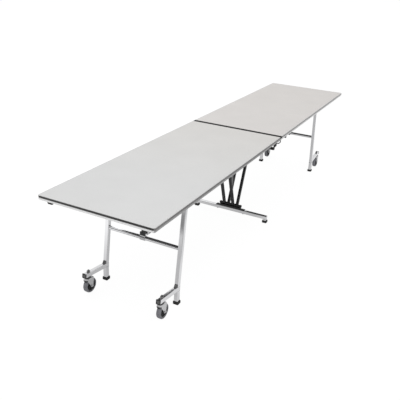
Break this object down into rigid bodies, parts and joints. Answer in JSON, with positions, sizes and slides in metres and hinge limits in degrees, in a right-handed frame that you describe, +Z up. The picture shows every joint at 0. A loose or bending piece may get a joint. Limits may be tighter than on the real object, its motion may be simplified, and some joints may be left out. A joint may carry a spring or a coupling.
{
  "type": "mobile folding table",
  "caption": "Long rectangular folding table on two wheeled chrome leg frames, with a centre seam hinge, a drop-down centre base and coupled fold links",
  "frame": {"origin": "on the floor under the middle of the seam", "axes": "+X along the length, +Y across the table, +Z up"},
  "size_m": [3.658, 0.762, 0.749],
  "materials": {
    "laminate": "light grey high-pressure laminate with a fine satin texture",
    "board": "particle board with a dark backing sheet",
    "edge_band": "charcoal moulding, lighter on its rounded lower part",
    "bracket_steel": "black powder coat",
    "black_steel": "black powder coat, slightly glossy",
    "dark_steel": "dark blackened steel",
    "grey_steel": "plain grey steel",
    "zinc_steel": "bright zinc plate",
    "chrome_tube": "bright chrome plate",
    "black_rubber": "black moulded rubber",
    "black_plastic": "black moulded plastic",
    "grey_tread": "grey non-marking tread",
    "wheel_hub": "dark grey moulded wheel centre"
  },
  "bodies": {
    "near_legs": {"near_left_leg": "chrome_tube", "near_right_leg": "chrome_tube", "near_crossbar": "chrome_tube", "near_arms": "chrome_tube", "near_foot_caps": "black_rubber", "near_tube_plugs": "black_plastic", "near_leg_bumpers": "black_rubber", "near_caster_stems": "zinc_steel", "near_swivel_races": "dark_steel", "near_link_lug": "zinc_steel"},
    "near_top": {"near_top_board": "board", "near_top_laminate": "laminate", "near_edge_band": "edge_band", "near_stiffener_rails": "bracket_steel", "near_leg_brackets": "bracket_steel", "near_hinge_brackets": "bracket_steel", "near_rod_brackets": "bracket_steel", "near_top_bumpers": "black_rubber"},
    "far_legs": {"far_left_leg": "chrome_tube", "far_right_leg": "chrome_tube", "far_crossbar": "chrome_tube", "far_arms": "chrome_tube", "far_foot_caps": "black_rubber", "far_tube_plugs": "black_plastic", "far_leg_bumpers": "black_rubber", "far_caster_stems": "zinc_steel", "far_swivel_races": "dark_steel", "far_link_lug": "zinc_steel"},
    "far_top": {"far_top_board": "board", "far_top_laminate": "laminate", "far_edge_band": "edge_band", "far_stiffener_rails": "bracket_steel", "far_leg_brackets": "bracket_steel", "far_hinge_brackets": "bracket_steel", "far_rod_brackets": "bracket_steel", "far_top_bumpers": "black_rubber"},
    "centre_hinge": {"hinge_spine": "black_steel", "centre_post": "grey_steel", "pull_loop": "black_steel"},
    "lever": {"release_lever": "black_plastic"},
    "centre_base": {"base_tube": "chrome_tube", "base_feet": "black_rubber", "base_bracket": "black_steel", "base_bolts": "zinc_steel"},
    "near_rod_pair": {"near_rods": "black_steel"},
    "near_fold_link": {"near_link": "black_steel"},
    "near_left_caster": {"near_left_fork": "zinc_steel"},
    "near_left_wheel": {"near_left_tread": "grey_tread", "near_left_hub": "wheel_hub"},
    "near_right_caster": {"near_right_fork": "zinc_steel"},
    "near_right_wheel": {"near_right_tread": "grey_tread", "near_right_hub": "wheel_hub"},
    "far_rod_pair": {"far_rods": "black_steel"},
    "far_fold_link": {"far_link": "black_steel"},
    "far_left_caster": {"far_left_fork": "zinc_steel"},
    "far_left_wheel": {"far_left_tread": "grey_tread", "far_left_hub": "wheel_hub"},
    "far_right_caster": {"far_right_fork": "zinc_steel"},
    "far_right_wheel": {"far_right_tread": "grey_tread", "far_right_hub": "wheel_hub"}
  },
  "joints": [
    {"name": "table_fold", "type": "hinge", "parent": "near_legs", "child": "near_top", "pos_m": [-1.306, 0, 0.698], "axis": [0, -1, 0], "range_deg": [0, 83]},
    {"name": "near_centre_hinge", "type": "hinge", "parent": "near_top", "child": "centre_hinge", "pos_m": [-0.07, 0, 0.698], "axis": [0, -1, 0], "range_deg": [-83, 0]},
    {"name": "far_centre_hinge", "type": "hinge", "parent": "centre_hinge", "child": "far_top", "pos_m": [0.07, 0, 0.698], "axis": [0, 1, 0], "range_deg": [0, 83]},
    {"name": "far_leg_hinge", "type": "hinge", "parent": "far_top", "child": "far_legs", "pos_m": [1.306, 0, 0.698], "axis": [0, 1, 0], "range_deg": [-83, 0]},
    {"name": "near_link_hinge", "type": "hinge", "parent": "near_legs", "child": "near_fold_link", "pos_m": [-1.306, 0, 0.384], "axis": [0, -1, 0], "range_deg": [0, 83]},
    {"name": "far_link_hinge", "type": "hinge", "parent": "centre_hinge", "child": "far_fold_link", "pos_m": [0.07, 0, 0.384], "axis": [0, 1, 0], "range_deg": [0, 83]},
    {"name": "base_slide", "type": "slide", "parent": "centre_hinge", "child": "centre_base", "axis": [0, 0, -1], "range_m": [0, 0.18385]},
    {"name": "near_rod_hinge", "type": "hinge", "parent": "centre_base", "child": "near_rod_pair", "pos_m": [0, 0, 0.086], "axis": [0, 1, 0], "range_deg": [0, 12.13]},
    {"name": "far_rod_hinge", "type": "hinge", "parent": "centre_base", "child": "far_rod_pair", "pos_m": [0, 0, 0.086], "axis": [0, -1, 0], "range_deg": [0, 12.13]},
    {"name": "release_lever_swing", "type": "hinge", "parent": "centre_hinge", "child": "lever", "pos_m": [0, -0.262, 0.676], "axis": [0, 1, 0], "range_deg": [0, 30], "stiffness_Nm_per_rad": 0.4},
    {"name": "near_left_caster_swivel", "type": "hinge", "parent": "near_legs", "child": "near_left_caster", "pos_m": [-1.56382, 0.27, 0.11134], "axis": [0.1219, 0, 0.9925], "continuous": true},
    {"name": "near_left_wheel_spin", "type": "hinge", "parent": "near_left_caster", "child": "near_left_wheel", "pos_m": [-1.55148, 0.27, 0.051], "axis": [0, 1, 0], "continuous": true},
    {"name": "near_right_caster_swivel", "type": "hinge", "parent": "near_legs", "child": "near_right_caster", "pos_m": [-1.56382, -0.27, 0.11134], "axis": [0.1219, 0, 0.9925], "continuous": true},
    {"name": "near_right_wheel_spin", "type": "hinge", "parent": "near_right_caster", "child": "near_right_wheel", "pos_m": [-1.55148, -0.27, 0.051], "axis": [0, 1, 0], "continuous": true},
    {"name": "far_left_caster_swivel", "type": "hinge", "parent": "far_legs", "child": "far_left_caster", "pos_m": [1.56382, 0.27, 0.11134], "axis": [-0.1219, 0, 0.9925], "continuous": true},
    {"name": "far_left_wheel_spin", "type": "hinge", "parent": "far_left_caster", "child": "far_left_wheel", "pos_m": [1.55148, 0.27, 0.051], "axis": [0, 1, 0], "continuous": true},
    {"name": "far_right_caster_swivel", "type": "hinge", "parent": "far_legs", "child": "far_right_caster", "pos_m": [1.56382, -0.27, 0.11134], "axis": [-0.1219, 0, 0.9925], "continuous": true},
    {"name": "far_right_wheel_spin", "type": "hinge", "parent": "far_right_caster", "child": "far_right_wheel", "pos_m": [1.55148, -0.27, 0.051], "axis": [0, 1, 0], "continuous": true}
  ],
  "couplings": [
    {"joint": "near_centre_hinge", "follows": "table_fold", "ratio": -1},
    {"joint": "far_centre_hinge", "follows": "table_fold", "ratio": 1},
    {"joint": "far_leg_hinge", "follows": "table_fold", "ratio": -1},
    {"joint": "near_link_hinge", "follows": "table_fold", "ratio": 1},
    {"joint": "far_link_hinge", "follows": "table_fold", "ratio": 1},
    {"joint": "base_slide", "follows": "table_fold", "m_per_rad": 0.12691},
    {"joint": "near_rod_hinge", "follows": "table_fold", "ratio": 0.14606},
    {"joint": "far_rod_hinge", "follows": "table_fold", "ratio": 0.14606}
  ]
}
